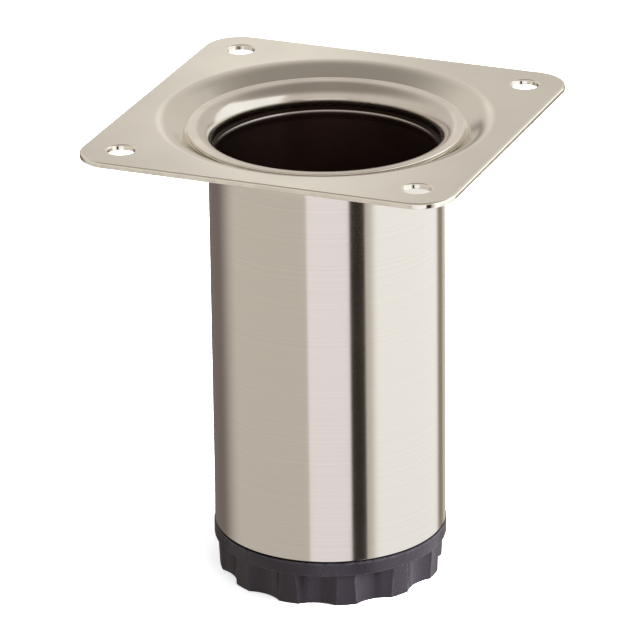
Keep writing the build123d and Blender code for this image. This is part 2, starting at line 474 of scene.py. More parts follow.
def new_group(name, inputs, outputs):
    """A node group of a vector and named values; gives its tree, inputs and outputs."""
    group = bpy.data.node_groups.new(name, "ShaderNodeTree")
    group.interface.new_socket("Vector", in_out="INPUT", socket_type="NodeSocketVector")
    for label, default in inputs.items():
        kind = "NodeSocketVector" if isinstance(default, tuple) else "NodeSocketFloat"
        socket = group.interface.new_socket(label, in_out="INPUT", socket_type=kind)
        socket.default_value = default
    for label in outputs:
        group.interface.new_socket(label, in_out="OUTPUT", socket_type="NodeSocketFloat")
    tree = Tree(group)
    return tree, tree.add("NodeGroupInput").outputs, tree.add("NodeGroupOutput").inputs


def drawn_grain(name):
    """Fine drawn lines: stretched noise, at two sizes."""
    tree, given, out = new_group(
        name, {"Stretch": (1.0, 1.0, 1.0), "Coarse Share": 0.35}, ["Lines"]
    )
    stretched = tree.add(
        "ShaderNodeVectorMath", {0: given["Vector"], 1: given["Stretch"]}, operation="MULTIPLY"
    ).outputs[0]
    fine = tree.noise(stretched, 1.0, 3.0, 0.65)
    coarse = tree.noise(stretched, 0.22, 2.0, 0.5)
    share_of_fine = tree.maths("SUBTRACT", 1.0, given["Coarse Share"])
    both = tree.maths("MULTIPLY", fine, share_of_fine)
    both = tree.maths("MULTIPLY_ADD", coarse, given["Coarse Share"], both)
    tree.link(tree.span(both, 0.3, 0.7), out["Lines"])
    return tree.tree


def edge_wear_and_highlight(name):
    """Outer edges that handling and tumbling have polished, from the mesh's own marks; the metals
    also paint a highlight there.
    """
    tree, given, out = new_group(name, {"Breakup": 0.35, "Patch Size": 400.0}, ["Mask"])
    mark = tree.add("ShaderNodeAttribute", attribute_name=EDGE_MARK).outputs["Fac"]
    patches = tree.span(tree.noise(given["Vector"], given["Patch Size"], 3.0, 0.6), 0.35, 0.65)
    kept = tree.maths("SUBTRACT", mark, tree.maths("MULTIPLY", patches, given["Breakup"]))
    tree.link(tree.span(kept, 0.1, 0.75), out["Mask"])
    return tree.tree


def surface_haze(name):
    """Uneven film on a surface: broad cloudy patches with finer specks."""
    tree, given, out = new_group(
        name, {"Cloud Size": 45.0, "Speck Size": 1800.0}, ["Clouds", "Specks", "Pits"]
    )
    clouds = tree.noise(given["Vector"], given["Cloud Size"], 3.0, 0.55)
    specks = tree.noise(given["Vector"], given["Speck Size"], 2.0, 0.6)
    tree.link(tree.span(clouds, 0.3, 0.7), out["Clouds"])
    tree.link(specks, out["Specks"])
    tree.link(tree.span(specks, 0.62, 0.72), out["Pits"])
    return tree.tree


EFFECTS = {"Drawn Grain": drawn_grain, "Edge Wear And Highlight": edge_wear_and_highlight, "Surface Haze": surface_haze}


def times(tint, factor):
    """A colour made darker or brighter, at most white."""
    return tuple(min(1.0, c * factor) for c in tint)


class Finish:
    """A material with one shader and the shared effect groups at hand."""

    def __init__(self, name, **constants):
        self.material = bpy.data.materials.new(name)
        self.tree = cleared(self.material)
        self.shader = self.tree.add("ShaderNodeBsdfPrincipled")
        self.tree.add("ShaderNodeOutputMaterial", {"Surface": self.shader.outputs[0]})
        self.place = self.tree.add("ShaderNodeTexCoord").outputs["Object"]
        for socket, value in constants.items():
            self.shader.inputs[socket.replace("_", " ")].default_value = value

    def effect(self, name, **values):
        """Outputs of a shared effect group, which is made on its first use."""
        inputs = {socket.replace("_", " "): value for socket, value in values.items()}
        return self.tree.add(
            "ShaderNodeGroup", {"Vector": self.place, **inputs},
            node_tree=bpy.data.node_groups.get(name) or EFFECTS[name](name),
        ).outputs

    def feed(self, **sockets):
        """Links values to the shader's inputs."""
        for socket, value in sockets.items():
            self.tree.link(value, self.shader.inputs[socket.replace("_", " ")])

    def clouded(self, haze, tint, dim):
        """A colour that the haze darkens in patches."""
        return self.tree.blend(haze["Clouds"], times(tint, dim), tint)

    def roughness(self, mask, at_0, at_1, *shifts):
        """Roughness by a mask, then shifted by (other mask, amount)."""
        rough = self.tree.span(mask, 0.0, 1.0, at_0, at_1, smooth=False)
        for other, amount in shifts:
            rough = self.tree.maths("MULTIPLY_ADD", other, amount, rough)
        self.feed(Roughness=rough)

    def bump(self, height, strength, distance):
        """Small relief from a height."""
        node = self.tree.add(
            "ShaderNodeBump", {"Height": height, "Strength": strength, "Distance": distance}
        )
        self.feed(Normal=node.outputs[0])

    def radius_and_height(self):
        """Distance from the leg's axis, and height."""
        x, y, z = self.tree.parts(self.place)
        across = self.tree.maths("MULTIPLY", x, x)
        across = self.tree.maths("MULTIPLY_ADD", y, y, across)
        return self.tree.maths("SQRT", across), z

    def facing(self):
        """Masks: faces that look towards the leg's axis, and how far a face looks up."""
        normal = self.tree.add("ShaderNodeTexCoord").outputs["Normal"]
        x, y, _ = self.tree.parts(self.place)
        across = self.tree.add("ShaderNodeCombineXYZ", {0: x, 1: y}).outputs[0]
        outward = self.tree.add(
            "ShaderNodeVectorMath", {0: normal, 1: across}, operation="DOT_PRODUCT"
        ).outputs["Value"]
        return self.tree.maths("LESS_THAN", outward, 0.0), self.tree.parts(normal)[2]


def brushed_tube(s, plate):
    """Steel brushed round the tube, with a duller bore whose dark colour is painted shade, darkest
    under the flare.
    """
    bore_blur, groove_height = 0.2 * MM, 0.5 * MM
    lip_from, lip_to = 0.05 * MM, 0.15 * MM      # the lip shows this far inside the throat
    f = Finish("brushed_tube", Metallic=1.0, Anisotropic=0.85, Anisotropic_Rotation=0.25)
    t = f.tree
    grain = f.effect("Drawn Grain", Stretch=(5.0, 5.0, 9000.0), Coarse_Share=0.25)
    haze = f.effect("Surface Haze", Cloud_Size=38.0, Speck_Size=2200.0)
    edge = f.effect("Edge Wear And Highlight", Breakup=0.3, Patch_Size=350.0)
    radius, height = f.radius_and_height()
    inward, upward = f.facing()
    flare_low, lip_z = plate.top - s.flare_end, plate.top - s.lip_depth
    # Mask of the bore under the flare: its colour there is painted shade, its higher roughness the
    # real duller finish.
    bore = t.maths("MULTIPLY", inward, t.span(height, flare_low, flare_low - bore_blur))
    # The painted shade is left off the upper side of the lip in the bore, which keeps the tube's
    # colour.
    lip_in = t.span(radius, s.throat - lip_from, s.throat - lip_to)
    lip = t.maths("MULTIPLY", lip_in, t.span(upward, 0.05, 0.45))
    bore = t.maths("MULTIPLY", bore, t.maths("SUBTRACT", 1.0, lip))
    steel = t.blend(grain["Lines"], times(s.steel, 0.92), s.steel)
    # Painted shade: between the flare and the lip the bore is darkened to three tenths, the groove's
    # shadow.
    groove_painted_shade = t.span(height, lip_z, lip_z + groove_height)
    bore_colour_with_painted_shade = t.blend(groove_painted_shade, f.clouded(haze, s.bore, 0.55), times(s.bore, 0.3))
    f.feed(Base_Color=t.blend(bore, steel, bore_colour_with_painted_shade))
    f.roughness(
        grain["Lines"], s.gloss + 0.02, s.gloss - 0.02,
        (haze["Clouds"], 0.02), (edge["Mask"], -0.06), (bore, 0.25),
    )
    f.bump(grain["Lines"], 0.03, 0.004 * MM)
    tangent = t.add("ShaderNodeTangent", direction_type="RADIAL", axis="Z")
    f.feed(Tangent=tangent.outputs[0])
    return f.material


def rolled_rim(s):
    """Rim rolled smooth on the plate, with faint turned lines and a polished outer edge, its colour
    brightened there as a painted highlight.
    """
    f = Finish("rolled_rim", Metallic=1.0)
    grain = f.effect("Drawn Grain", Stretch=(160.0, 160.0, 3000.0), Coarse_Share=0.4)
    haze = f.effect("Surface Haze", Cloud_Size=90.0, Speck_Size=2600.0)
    edge = f.effect("Edge Wear And Highlight", Breakup=0.3, Patch_Size=350.0)
    steel = f.clouded(haze, s.steel, 0.92)
    # Painted highlight: the outer edge's colour is brightened by a quarter, beside the real polish
    # that lowers its roughness.
    f.feed(Base_Color=f.tree.blend(edge["Mask"], steel, times(s.steel, 1.25)))
    f.roughness(haze["Clouds"], s.rim_gloss + 0.03, s.rim_gloss - 0.02, (edge["Mask"], -0.08))
    f.bump(grain["Lines"], 0.08, 0.004 * MM)
    return f.material


def pressed_plate(s):
    """Satin plated sheet, polished along its outer edges and round its holes, where its colour is
    also brightened as a painted highlight.
    """
    f = Finish("pressed_plate", Metallic=1.0)
    grain = f.effect("Drawn Grain", Stretch=(1500.0, 1500.0, 1500.0), Coarse_Share=0.4)
    haze = f.effect("Surface Haze", Cloud_Size=30.0, Speck_Size=3200.0)
    edge = f.effect("Edge Wear And Highlight", Breakup=0.3, Patch_Size=420.0)
    steel = f.clouded(haze, s.steel, 0.93)
    # Painted highlight: the polished edges' colour is brightened by a sixth; their lower roughness is
    # the real polish.
    f.feed(Base_Color=f.tree.blend(edge["Mask"], steel, times(s.steel, 1.16)))
    f.roughness(haze["Clouds"], s.gloss + 0.03, s.gloss - 0.03, (edge["Mask"], -0.22))
    f.bump(grain["Lines"], 0.25, 0.006 * MM)
    return f.material


def moulded_plastic(name, tint, gloss):
    """Charcoal plastic with a faint moulded texture and scuffed outer edges."""
    f = Finish(name, IOR=1.52, Specular_Tint=(1.0, 0.9, 1.0, 1.0))
    t = f.tree
    drawn = f.effect("Drawn Grain", Stretch=(1400.0, 1400.0, 110.0), Coarse_Share=0.5)
    haze = f.effect("Surface Haze", Cloud_Size=60.0, Speck_Size=5200.0)
    edge = f.effect("Edge Wear And Highlight", Breakup=0.8, Patch_Size=900.0)
    pale = tuple(c * 1.5 + 0.01 for c in tint)
    scuff = t.maths("MULTIPLY", edge["Mask"], 0.5)
    f.feed(Base_Color=t.blend(scuff, f.clouded(haze, tint, 0.8), pale))
    f.roughness(
        haze["Clouds"], gloss + 0.06, gloss - 0.04, (haze["Pits"], 0.08), (drawn["Lines"], 0.10)
    )
    f.bump(t.maths("MULTIPLY_ADD", drawn["Lines"], 0.6, haze["Specks"]), 0.3, 0.012 * MM)
    return f.material


def zinc_plate(s):
    """Bright zinc plating with faint turned lines."""
    f = Finish("zinc_plate", Metallic=1.0)
    grain = f.effect("Drawn Grain", Stretch=(300.0, 300.0, 4200.0), Coarse_Share=0.3)
    haze = f.effect("Surface Haze", Cloud_Size=140.0, Speck_Size=3000.0)
    f.feed(Base_Color=f.clouded(haze, s.zinc, 0.78))
    f.roughness(haze["Clouds"], s.gloss + 0.08, s.gloss - 0.06, (grain["Lines"], 0.05))
    f.bump(grain["Lines"], 0.3, 0.006 * MM)
    return f.material


# Pieces

def seat_z(radius, tube, plate):
    """Height of the plate's seat under the rolled rim, at a radius."""
    return plate.top - plate.dish_depth - (tube.rim_radius - radius) * math.tan(tube.rim_slope)


def settle(piece, body, slot, materials, *nodes):
    """Gives a piece its materials and body, and hides the solid that it stands for."""
    for material in materials:
        piece.data.materials.append(material)
    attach(piece, body)
    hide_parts(*nodes)


def make_tube(tube, plate):
    """The tube: cut lower end, drawn-in lip, bead under the plate and rim rolled on top."""
    neck = tube.throat + tube.wall
    hole = neck + plate.neck_clearance
    slope = math.cos(tube.rim_slope)
    under_plate = seat_z(hole, tube, plate) - plate.thickness / slope - plate.seat_gap
    bead_bottom = under_plate - tube.bead_height
    lift = plate.seat_gap / slope
    outside = [
        (tube.radius, tube.bottom),
        (tube.radius, bead_bottom - tube.lip_run),
        (tube.radius - tube.lip_in, bead_bottom),
        (neck + tube.bead_proud, under_plate - tube.bead_flank),
        (neck, under_plate),
        (neck, seat_z(neck, tube, plate) + lift),
        (tube.rim_radius, seat_z(tube.rim_radius, tube, plate) + lift),
    ]
    far = other_side(outside, tube.wall)
    foot_end, rim_end = far[0], far[-1]
    rim_z = rim_end[1] - (rim_end[0] - tube.throat) * math.tan(tube.rim_slope)
    flare_low, lip_z = plate.top - tube.flare_end, plate.top - tube.lip_depth
    inside = [
        rim_end,
        (tube.throat, rim_z),
        (tube.throat, flare_low),
        (tube.throat + tube.groove, flare_low - tube.groove / 2),
        (foot_end[0] - tube.lip_in, lip_z),
        (foot_end[0], lip_z - tube.lip_run),
        foot_end,
    ]
    lip_blend, lip_round, bead_root = 3.0 * MM, 1.3 * MM, 0.6 * MM
    groove_edge, groove_root, bore_lip_round = 0.35 * MM, 0.2 * MM, 1.7 * MM
    radii = [
        tube.end_round, lip_blend, lip_round, tube.bead_round, bead_root,
        tube.rim_roll - tube.wall, tube.rim_round,
        tube.rim_round, tube.flare, groove_edge, groove_root, bore_lip_round, lip_blend,
        tube.end_round,
    ]
    skin = Skin()
    skin.turned(rounded_line(outside + inside, radii, closed=True), closed=True)
    return skin.make("tube_with_rolled_rim")


def square_ring(centre, radius, z, normal_z, mark):
    """Points round a square with rounded corners, at one height."""
    out = math.sqrt(max(0.0, 1 - normal_z * normal_z))
    ring = []
    for quarter in range(4):
        middle = math.radians(45 + 90 * quarter)
        cx = math.copysign(centre, math.cos(middle))
        cy = math.copysign(centre, math.sin(middle))
        for k in range(CORNER_STEPS + 1):
            t = math.radians(90 * quarter + 90 * k / CORNER_STEPS)
            ring.append((
                (cx + radius * math.cos(t), cy + radius * math.sin(t), z),
                (out * math.cos(t), out * math.sin(t), normal_z),
                mark,
            ))
    return ring


def make_plate(tube, plate):
    """The plate: rounded square sheet, dished round its big hole, with four screw holes."""
    margin = 0.5 * MM                # flat ring kept round each rounding
    flat_margin = 3.0 * MM           # and round the dish
    sheared_edge = 0.02 * MM
    under = plate.top - plate.thickness
    neck = tube.throat + tube.wall
    hole = neck + plate.neck_clearance
    seat = tube.rim_radius + plate.seat_margin
    flat_from = plate.dish_radius + flat_margin
    top_line = [
        (flat_from, plate.top),
        (plate.dish_radius, plate.top),
        (seat, seat_z(seat, tube, plate)),
        (hole, seat_z(hole, tube, plate)),
    ]
    low_line = other_side(top_line, plate.thickness)
    low_r, low_z = low_line[-1]
    low_corner = (hole, low_z + (hole - low_r) * math.tan(tube.rim_slope))
    # The dish is one open line: top face, dish, hole and back along the lower side.
    corners = top_line + [low_corner, low_line[2], low_line[1], (flat_from, under)]
    radii = [
        0, plate.dish_crease, plate.dish_root, plate.neck_round, sheared_edge,
        plate.dish_root + plate.thickness, plate.dish_crease - plate.thickness, 0,
    ]
    skin = Skin()
    skin.turned(rounded_line(corners, radii))
    edge_line = [
        (-margin - plate.under_round, under), (0.0, under), (0.0, plate.top),
        (-margin - plate.edge_round, plate.top),
    ]
    edge_radii = [0, plate.under_round, plate.edge_round, 0]
    centre = plate.side / 2 - plate.corner
    rows = [
        square_ring(centre, plate.corner + x, z, nz, mark)
        for (x, z), (_, nz), mark in rounded_line(edge_line, edge_radii)
    ]
    skin.rows(rows)
    holes_top, holes_under = [], []
    hole_out = plate.hole_radius + plate.hole_round + margin
    hole_line = [
        (hole_out, plate.top), (plate.hole_radius, plate.top),
        (plate.hole_radius, under), (hole_out, under),
    ]
    hole_radii = [0, plate.hole_round, plate.under_round, 0]
    for x in (-1, 1):
        for y in (-1, 1):
            centre = (x * plate.hole_spacing / 2, y * plate.hole_spacing / 2)
            skin.turned(rounded_line(hole_line, hole_radii), HOLE_COLUMNS, centre=centre)
            holes_top.append(ring_at(hole_out, plate.top, HOLE_COLUMNS, centre))
            holes_under.append(ring_at(hole_out, under, HOLE_COLUMNS, centre))
    for z, holes, row, up in (
        (plate.top, holes_top, rows[-1], True), (under, holes_under, rows[0], False)
    ):
        skin.flat([[place for place, _, _ in row], ring_at(flat_from, z), *holes], up)
    return skin.make("pressed_mounting_plate")


def lobed_ring(foot, radius, inset, z, normal_z=0.0, mark=0.0):
    """Outline of the lands and flutes at one height, drawn in by an inset."""
    few, many = 6, 12                # steps along a land or rounding, and along a hollow
    pitch = 2 * math.pi / foot.flutes
    far = foot.flute_floor + foot.flute_radius
    land, bend, hollow = radius - inset, foot.land_round - inset, foot.flute_radius + inset
    middle, reach = radius - foot.land_round, foot.flute_radius + foot.land_round
    spread = math.acos((middle ** 2 + far ** 2 - reach ** 2) / (2 * middle * far))
    aim = math.atan2(middle * math.sin(spread), far - middle * math.cos(spread))
    half_land = pitch / 2 - spread
    bx, by = middle * math.cos(spread), middle * math.sin(spread)
    out = math.sqrt(max(0.0, 1 - normal_z * normal_z))
    ring = []

    def point(x, y, way, turn, at_mark):
        c, s = math.cos(turn), math.sin(turn)
        ring.append((
            (x * c - y * s, x * s + y * c, z),
            (out * math.cos(way + turn), out * math.sin(way + turn), normal_z),
            at_mark,
        ))

    for i in range(foot.flutes):
        turn = foot.phase + pitch * (i + 0.5)       # middle of a flute
        for k in range(few):                        # land before the flute
            way = -pitch / 2 + half_land * k / few
            point(land * math.cos(way), land * math.sin(way), way, turn, mark)
        for k in range(few):                        # rounding into the flute
            way = -spread + (spread + aim) * k / few
            point(bx + bend * math.cos(way), -by + bend * math.sin(way), way, turn, 1.0)
        for k in range(many + 1):                   # hollow of the flute
            way = aim - 2 * aim * k / many
            ends = HALF_MARK if k in (0, many) else mark
            point(far - hollow * math.cos(way), hollow * math.sin(-way), way, turn, ends)
        for k in range(1, few + 1):                 # rounding out of the flute
            way = -aim + (spread + aim) * k / few
            point(bx + bend * math.cos(way), by + bend * math.sin(way), way, turn, 1.0)
        for k in range(1, few):                     # land after the flute
            way = spread + half_land * k / few
            point(land * math.cos(way), land * math.sin(way), way, turn, mark)
    return ring


def circle_like(ring, radius, z, out, up, mark=0.0):
    """A circle with the same number of points, at the same angles, as a ring."""
    circle = []
    for (x, y, _), _, _ in ring:
        t = math.atan2(y, x)
        c, s = math.cos(t), math.sin(t)
        circle.append(((radius * c, radius * s, z), (out * c, out * s, up), mark))
    return circle


def circles_like(ring, line):
    """Such circles, one for each (radius, height, normal out, normal up, mark)."""
    return [circle_like(ring, *point) for point in line]


def make_foot(foot, screw):
    """The foot: plain band, lands and flutes, a bore for the stud and a ribbed pocket below."""
    skin = Skin()
    top, flute_top = foot.height, foot.height - foot.band_height
    taper = (foot.land_top - foot.land_base) / flute_top
    rows = []
    bends = 5
    for k in range(bends + 1):
        t = math.radians(90 * k / bends)
        rows.append(lobed_ring(
            foot, foot.land_base, foot.base_round * (1 - math.sin(t)),
            foot.base_round * (1 - math.cos(t)), -math.cos(t), 1.0 if k < bends else HALF_MARK,
        ))
    for z in (0.7 * MM, 2.5 * MM, flute_top):
        rows.append(lobed_ring(foot, foot.land_base + taper * z, 0.0, z))
    skin.rows(rows)
    base_ring, top_ring = rows[0], rows[-1]
    under_band = (foot.band_radius - foot.ledge_round, flute_top, 0.0, -1.0, SOFT_MARK)
    level = [(place, (0, 0, -1), 0.0) for place, _, _ in top_ring]
    skin.rows([level, circle_like(top_ring, *under_band)])
    bore = screw.stud_radius + screw.clearance
    lead, beside = 0.3 * MM, 0.5 * MM        # the bore's lead-in; flat kept beside a rounding
    skin.rows(circles_like(top_ring, [
        under_band,
        *corner_arc(foot.band_radius, flute_top, foot.ledge_round, 1, -1, 4, True),
        (foot.band_radius, flute_top + beside, 1.0, 0.0, 0.0),
        (foot.band_radius, top - foot.band_round - SUPPORT, 1.0, 0.0, 0.0),
        *corner_arc(foot.band_radius, top, foot.band_round, 1, 1, 5, False),
        (foot.band_radius - foot.band_round - beside, top, 0.0, 1.0, 0.0),
        (bore + 0.6 * MM, top, 0.0, 1.0, 0.0),
        (bore + lead, top, 0.0, 1.0, HALF_MARK),
    ]))
    # Inside of the foot: bore, and the hollow round the stud's head.
    head = screw.head_radius + screw.clearance
    head_top = screw.stud_floor + screw.head_height + screw.clearance
    head_bottom = screw.stud_floor - screw.clearance
    hollow = [
        (bore + lead, top), (bore, top - lead), (bore, head_top), (head, head_top),
        (head, head_bottom), (0.0, head_bottom),
    ]
    for a, b in zip(hollow, hollow[1:]):
        u = unit(b[0] - a[0], b[1] - a[1])
        skin.rows(circles_like(top_ring, [(r, z, u[1], -u[0]) for r, z in (a, b)]))
    make_pocket(skin, foot, base_ring)
    return skin.make("moulded_levelling_foot")


def make_pocket(skin, foot, base_ring):
    """Underside of the foot: base ring, ribs set back, deep cells between them and the hub."""
    wall, hub = foot.flute_floor - foot.wall, foot.hub_radius
    rise, roof = foot.rib_set_back, foot.height - foot.roof
    ledge, soft = 0.15 * MM, 0.25 * MM       # ledge round each cell; rounding of wall and hub
    by_hub, by_wall = 6, 10                  # steps along a cell's side at the hub and the wall
    skin.rows([
        circle_like(base_ring, wall + soft, 0.0, 0, -1),
        [(place, (0, 0, -1), mark) for place, _, mark in base_ring],
    ])
    wall_line = [*corner_arc(wall, 0.0, soft, -1, -1, 4, True), (wall, rise, -1.0, 0.0, 0.0)]
    hub_line = [
        (hub, rise, 1.0, 0.0, 0.0),
        *corner_arc(hub, 0.0, soft, 1, -1, 4, False),
        (hub - soft - SUPPORT, 0.0, 0.0, -1.0, 0.0),
        (0.0, 0.0, 0.0, -1.0, 0.0),
    ]
    for line in (wall_line, hub_line):
        skin.rows(circles_like(base_ring, line)[::-1])
    near, far = hub + ledge, wall - ledge
    near_half, far_half = (
        math.pi / foot.flutes - math.asin(foot.rib / 2 / radius) for radius in (near, far)
    )
    cells = []
    for i in range(foot.flutes):
        turn = foot.phase + 2 * math.pi * (i + 0.5) / foot.flutes
        cell = [(near, near_half * (1 - 2 * k / by_hub)) for k in range(by_hub + 1)]
        cell += [(far, far_half * (2 * k / by_wall - 1)) for k in range(by_wall + 1)]
        places = [(r * math.cos(turn + t), r * math.sin(turn + t)) for r, t in cell]
        cells.append([(x, y, rise) for x, y in places])
        for (ax, ay), (bx, by) in zip(places, places[1:] + places[:1]):
            u = unit(bx - ax, by - ay)
            corners = [(ax, ay, roof), (bx, by, roof), (bx, by, rise), (ax, ay, rise)]
            skin.patch([(c, (-u[1], u[0], 0.0), 0.0) for c in corners], [(0, 1, 2, 3)])
        skin.flat([[(x, y, roof) for x, y in places]], False)
    outer, inner = (
        [place for place, _, _ in circle_like(base_ring, radius, rise, 0, -1)]
        for radius in (wall, hub)
    )
    skin.flat([outer, inner, *cells], False)


def thread_shape(turn):
    """Depth of a thread, 0 at its crest and 1 at its root, over one turn."""
    at = turn % 1.0
    crest, root = 0.125, 0.25
    flank = (1 - crest - root) / 2
    if at < crest:
        return 0.0
    if at < crest + flank:
        return (at - crest) / flank
    if at < crest + flank + root:
        return 1.0
    return 1 - (at - crest - flank - root) / flank


def threaded_rows(radius, depth, pitch, low, high, fade, outward):
    """Rings of a threaded wall between two heights; the thread fades in at both ends."""
    columns = THREAD_COLUMNS
    count = max(2, round((high - low) / pitch * THREAD_STEPS))
    heights = [low + (high - low) * i / count for i in range(count + 1)]
    crest_depth = 0.1 * MM           # within this depth a point is on the crest
    radii = []
    for z in heights:
        near_end = min(1.0, min(z - low, high - z) / fade)
        radii.append([
            radius - outward * depth * near_end * thread_shape(z / pitch - j / columns)
            for j in range(columns)
        ])
    rows = []
    for i, z in enumerate(heights):
        below, above = max(i - 1, 0), min(i + 1, count)
        row = []
        for j, r in enumerate(radii[i]):
            t = 2 * math.pi * j / columns
            slope = (radii[above][j] - radii[below][j]) / (heights[above] - heights[below])
            step = radii[i][(j + 1) % columns] - radii[i][j - 1]
            twist = step / (4 * math.pi / columns) / r
            size = outward / math.sqrt(1 + slope * slope + twist * twist)
            c, s = math.cos(t), math.sin(t)
            normal = (size * (c + twist * s), size * (s - twist * c), -size * slope)
            mark = SOFT_MARK if r > radius - crest_depth and outward > 0 else 0.0
            row.append(((r * c, r * s, z), normal, mark))
        rows.append(row)
    return rows


def make_stud(screw):
    """The stud: rolled thread on a plain round head, chamfered at the top."""
    skin = Skin()
    radius = screw.stud_radius
    low, high = screw.stud_floor + screw.head_height, screw.stud_top - screw.stud_chamfer
    head_round, fade = 0.3 * MM, 1.2 * MM
    head = [
        (0.0, screw.stud_floor), (screw.head_radius, screw.stud_floor),
        (screw.head_radius, low), (radius, low),
    ]
    skin.turned(rounded_line(head, [0, head_round, head_round, 0]), THREAD_COLUMNS)
    skin.rows(threaded_rows(radius, screw.thread_depth, screw.pitch, low, high, fade, 1))
    tip = (radius - screw.stud_chamfer, screw.stud_top)
    cone = [((radius, high), (LEAN, LEAN), 0.0), (tip, (LEAN, LEAN), SOFT_MARK)]
    face = [(tip, (0, 1), SOFT_MARK), ((0.0, screw.stud_top), (0, 1), 0.0)]
    skin.turned(cone, THREAD_COLUMNS)
    skin.turned(face, THREAD_COLUMNS)
    return skin.make("threaded_foot_stud")


def make_nut(screw):
    """The nut: six flats, chamfered corners and a threaded bore with lead-ins."""
    skin = Skin()
    sixth = math.pi / 3
    apothem = screw.nut_flats / 2
    corner = apothem / math.cos(sixth / 2)
    low, high = screw.nut_bottom, screw.nut_bottom + screw.nut_height
    chamfer = screw.nut_chamfer
    bevel_up = 0.46                  # upright part of a corner chamfer's normal
    rise = [0.0, 0.25, 0.5, 0.75, 1.0]
    heights = [low + chamfer * k for k in rise] + [high - chamfer * k for k in rise[::-1]]
    rows = []
    for z in heights:
        cone = apothem + 2 * min(chamfer, z - low, high - z)
        row = []
        for j in range(NUT_COLUMNS):
            t = 2 * math.pi * j / NUT_COLUMNS
            side = round(t / sixth) * math.pi / 3
            flat = min(apothem / math.cos(t - side), corner)
            bevelled = cone < flat
            r, way = (cone, t) if bevelled else (flat, side)
            up = bevel_up * (1 if z > (low + high) / 2 else -1) if bevelled else 0.0
            level = math.sqrt(1 - up * up)
            row.append((
                (r * math.cos(t), r * math.sin(t), z),
                (level * math.cos(way), level * math.sin(way), up),
                1.0 if bevelled else 0.0,
            ))
        rows.append(row)
    skin.rows(rows)
    bore = screw.stud_radius + screw.clearance
    lead, depth, fade = 0.6 * MM, 0.5 * MM, 0.8 * MM
    for z, up in ((high, True), (low, False)):
        skin.flat([ring_at(apothem, z, NUT_COLUMNS), ring_at(bore + lead, z, THREAD_COLUMNS)], up)
    for line, up in (
        (((bore + lead, high), (bore, high - lead)), LEAN),
        (((bore, low + lead), (bore + lead, low)), -LEAN),
    ):
        skin.turned([(place, (-LEAN, up), 0.0) for place in line], THREAD_COLUMNS)
    rows = threaded_rows(bore, depth, screw.pitch, low + lead, high - lead, fade, -1)
    skin.rows(rows[::-1])
    return skin.make("threaded_plug_nut")


# Operators

def settings(context):
    """The tube's, plate's, foot's, screw's and stage's settings."""
    scene = context.scene
    return (
        scene.furniture_leg_tube, scene.furniture_leg_plate, scene.furniture_leg_foot,
        scene.furniture_leg_screw, scene.furniture_leg_stage,
    )


class FURNITURE_LEG_OT_tube(bpy.types.Operator):
    """Build the brushed tube with its bead and rolled rim"""

    bl_idname = "furniture_leg.tube"
    bl_label = "Tube"

    def execute(self, context):
        tube, plate, _, _, _ = settings(context)
        finishes = [brushed_tube(tube, plate), rolled_rim(tube)]
        piece = make_tube(tube, plate)
        settle(piece, "leg", "tube_steel", finishes, "leg_tube")
        for face in piece.data.polygons:
            face.material_index = int(face.center.z > plate.top - tube.flare_end)
        return {"FINISHED"}


class FURNITURE_LEG_OT_plate(bpy.types.Operator):
    """Build the pressed mounting plate with its dish and screw holes"""

    bl_idname = "furniture_leg.plate"
    bl_label = "Mounting plate"

    def execute(self, context):
        tube, plate, _, _, _ = settings(context)
        steel = pressed_plate(plate)
        settle(make_plate(tube, plate), "leg", "plate_steel", [steel], "mounting_plate")
        return {"FINISHED"}


class FURNITURE_LEG_OT_foot(bpy.types.Operator):
    """Build the moulded levelling foot"""

    bl_idname = "furniture_leg.foot"
    bl_label = "Levelling foot"

    def execute(self, context):
        _, _, foot, screw, _ = settings(context)
        plastic = moulded_plastic("foot_plastic", foot.plastic, foot.gloss)
        settle(make_foot(foot, screw), "foot", "foot_plastic", [plastic], "adjustable_foot")
        return {"FINISHED"}


class FURNITURE_LEG_OT_screw(bpy.types.Operator):
    """Build the stud and nut, and finish the plug"""

    bl_idname = "furniture_leg.screw"
    bl_label = "Stud, nut and plug"

    def execute(self, context):
        _, _, _, screw, _ = settings(context)
        zinc = zinc_plate(screw)
        settle(make_stud(screw), "spindle", "zinc_steel", [zinc], "foot_stud")
        settle(make_nut(screw), "leg", "zinc_steel", [zinc], "plug_nut")
        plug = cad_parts["tube_plug"]
        plug.data.materials.clear()
        plug.data.materials.append(moulded_plastic("plug_plastic", screw.plug, 0.5))
        return {"FINISHED"}


# Cards of the studio that the polished pieces mirror. In degrees: where a card begins and
# ends, by the turn from the camera, positive to the right; how soft its sides are; how high
# it reaches. Then its colour.
CARDS = (
    (-165, -135, 35, 5, (0.20, 0.16, 0.15)),    # dark corner at the back left
    (-20, 20, 1, 5, (1.0, 0.95, 1.0)),          # white card in front
    (22, 36, 1, 5, (0.03, 0.025, 0.02)),        # black flag beside it
    (50, 130, 10, 40, (1.1, 1.1, 1.1)),         # tall window on the right
    (140, 150, 5, 5, (0.3, 0.25, 0.2)),         # post behind it
)
SURROUND = ((0.65, 0.60, 0.55), (0.30, 0.27, 0.24))      # wall round the leg, and overhead
OVERHEAD = (30, 70)              # heights between which the wall gives way, in degrees
LIGHT_BLEND = 7                  # degrees over which a card's upper end fades
LIGHT_FALL = (-28, -21, 0.86)    # share of the light below the first height, whole from the next
LAMPS = (                        # name, place, side, watts
    ("key_lamp", (0.5, -0.6, 1.1), 0.7, 3.0),
    ("side_lamp", (0.95, 0.1, 0.5), 0.4, 85.0),
)


def height_span(tree, up, low, high, *ends):
    """Value between two heights above the horizon, in degrees."""
    return tree.span(up, math.sin(math.radians(low)), math.sin(math.radians(high)), *ends)


